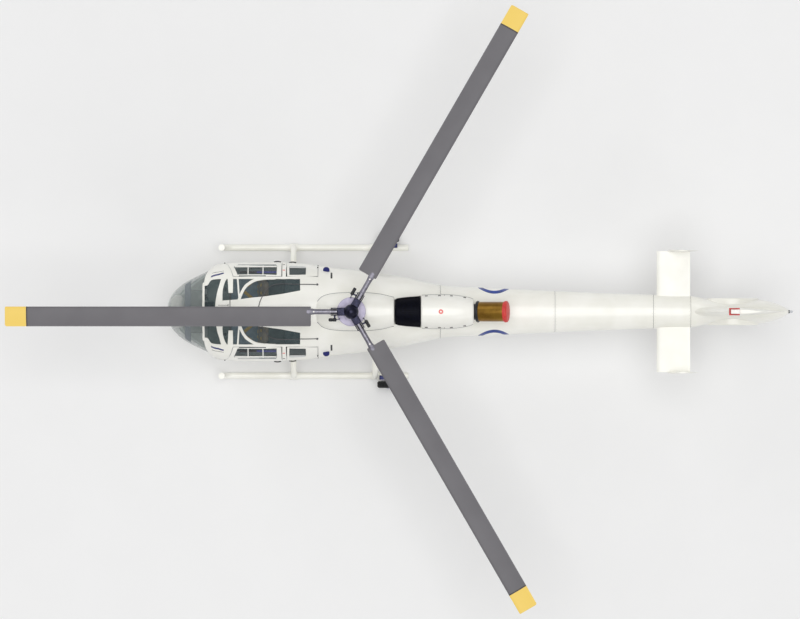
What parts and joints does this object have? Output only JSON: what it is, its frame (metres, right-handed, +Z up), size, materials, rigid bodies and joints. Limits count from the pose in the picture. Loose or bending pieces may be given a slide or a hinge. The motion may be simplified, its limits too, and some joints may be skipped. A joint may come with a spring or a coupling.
{
  "type": "light helicopter with a shrouded tail rotor, on skids",
  "caption": "Light three-bladed helicopter on skids with a glazed cabin, shrouded tail rotor, hinged doors and small ground handling wheels.",
  "frame": {"origin": "on the ground between the skids, midway along the overall length; the rotor mast stands 0.740 m forward of it", "axes": "+X towards the tail, -X towards the nose; +Y towards the starboard side; +Z up"},
  "size_m": [11.98, 9.2432, 3.197],
  "materials": {
    "white_paint": "white gloss paint on a composite skin",
    "gear_paint": "white painted alloy tube",
    "blade_grey": "grey painted composite blade with a yellow tip",
    "gunmetal": "dark anodised alloy",
    "pale_alloy": "pale machined alloy",
    "tinted_acrylic": "lightly tinted clear acrylic",
    "black_mesh": "black ribbed intake grille",
    "engine_steel": "plain engine metal",
    "stained_steel": "heat stained sheet steel",
    "red_cover": "red blanking cover",
    "blue_clamp": "dark blue paint",
    "tyre": "black rubber",
    "rim_alloy": "cast alloy rim",
    "seat_leather": "brown leather",
    "bench_cloth": "dark green grey cloth",
    "panel_black": "matt dark blue grey",
    "control_black": "black painted tube with rubber grips",
    "fan_alloy": "grey forged alloy",
    "lamp_red": "red lamp cover",
    "lamp_clear": "clear lamp cover"
  },
  "bodies": {
    "airframe": {"beacon": "lamp_red", "cabin_frame": "white_paint", "cabin_tub": "white_paint", "centre_fuselage": "white_paint", "collective_levers": "control_black", "cross_tube_front": "gear_paint", "cross_tube_rear": "gear_paint", "cyclic_sticks": "control_black", "engine_block": "engine_steel", "engine_cowling": "white_paint", "exhaust_cover": "red_cover", "exhaust_pipe": "stained_steel", "instrument_panel": "panel_black", "intake_grille": "black_mesh", "main_gearbox": "engine_steel", "mast_fairing": "white_paint", "nose_glass_port": "tinted_acrylic", "nose_glass_starboard": "tinted_acrylic", "rear_bench": "bench_cloth", "roof_glass_port": "tinted_acrylic", "roof_glass_starboard": "tinted_acrylic", "rudder_pedals": "control_black", "seat_port": "seat_leather", "seat_starboard": "seat_leather", "skid_port": "gear_paint", "skid_starboard": "gear_paint", "tail_boom": "white_paint", "tail_bumper": "control_black", "tail_fin": "white_paint", "tail_gearbox": "fan_alloy", "tail_light": "lamp_clear", "tailplane_port": "white_paint", "tailplane_starboard": "white_paint", "wheel_bracket_port": "blue_clamp", "wheel_bracket_starboard": "blue_clamp"},
    "main_rotor": {"rotor_hub": "gunmetal", "rotor_mast": "pale_alloy", "blade_1": "blade_grey", "blade_2": "blade_grey", "blade_3": "blade_grey"},
    "tail_fan": {"tail_rotor": "fan_alloy"},
    "front_door_starboard": {"front_door_starboard": "white_paint", "front_door_glass_starboard": "tinted_acrylic"},
    "front_door_port": {"front_door_port": "white_paint", "front_door_glass_port": "tinted_acrylic"},
    "rear_door_starboard": {"rear_door_starboard": "white_paint", "rear_door_glass_starboard": "tinted_acrylic"},
    "rear_door_port": {"rear_door_port": "white_paint", "rear_door_glass_port": "tinted_acrylic"},
    "wheel_starboard": {"tyre_starboard": "tyre", "wheel_rim_starboard": "rim_alloy"},
    "wheel_port": {"tyre_port": "tyre", "wheel_rim_port": "rim_alloy"}
  },
  "joints": [
    {"name": "main_rotor_spin", "type": "hinge", "parent": "airframe", "child": "main_rotor", "pos_m": [-0.74, 0, 2.6], "axis": [0, 0, 1], "continuous": true},
    {"name": "tail_rotor_spin", "type": "hinge", "parent": "airframe", "child": "tail_fan", "pos_m": [5.07, 0.045, 1.315], "axis": [0, 1, 0], "continuous": true},
    {"name": "front_door_starboard_hinge", "type": "hinge", "parent": "airframe", "child": "front_door_starboard", "pos_m": [-2.674, 0.755, 0.95], "axis": [0, -0.0797, 0.9968], "range_deg": [0, 75]},
    {"name": "front_door_port_hinge", "type": "hinge", "parent": "airframe", "child": "front_door_port", "pos_m": [-2.674, -0.755, 0.95], "axis": [0, -0.0797, -0.9968], "range_deg": [0, 75]},
    {"name": "rear_door_starboard_hinge", "type": "hinge", "parent": "airframe", "child": "rear_door_starboard", "pos_m": [-1.253, 0.722, 0.95], "axis": [0, 0.0896, -0.996], "range_deg": [0, 75]},
    {"name": "rear_door_port_hinge", "type": "hinge", "parent": "airframe", "child": "rear_door_port", "pos_m": [-1.253, -0.722, 0.95], "axis": [0, 0.0896, 0.996], "range_deg": [0, 75]},
    {"name": "wheel_starboard_spin", "type": "hinge", "parent": "airframe", "child": "wheel_starboard", "pos_m": [-0.18, 1.117, 0.215], "axis": [0, 1, 0], "continuous": true},
    {"name": "wheel_port_spin", "type": "hinge", "parent": "airframe", "child": "wheel_port", "pos_m": [-0.18, -1.117, 0.215], "axis": [0, 1, 0], "continuous": true}
  ]
}
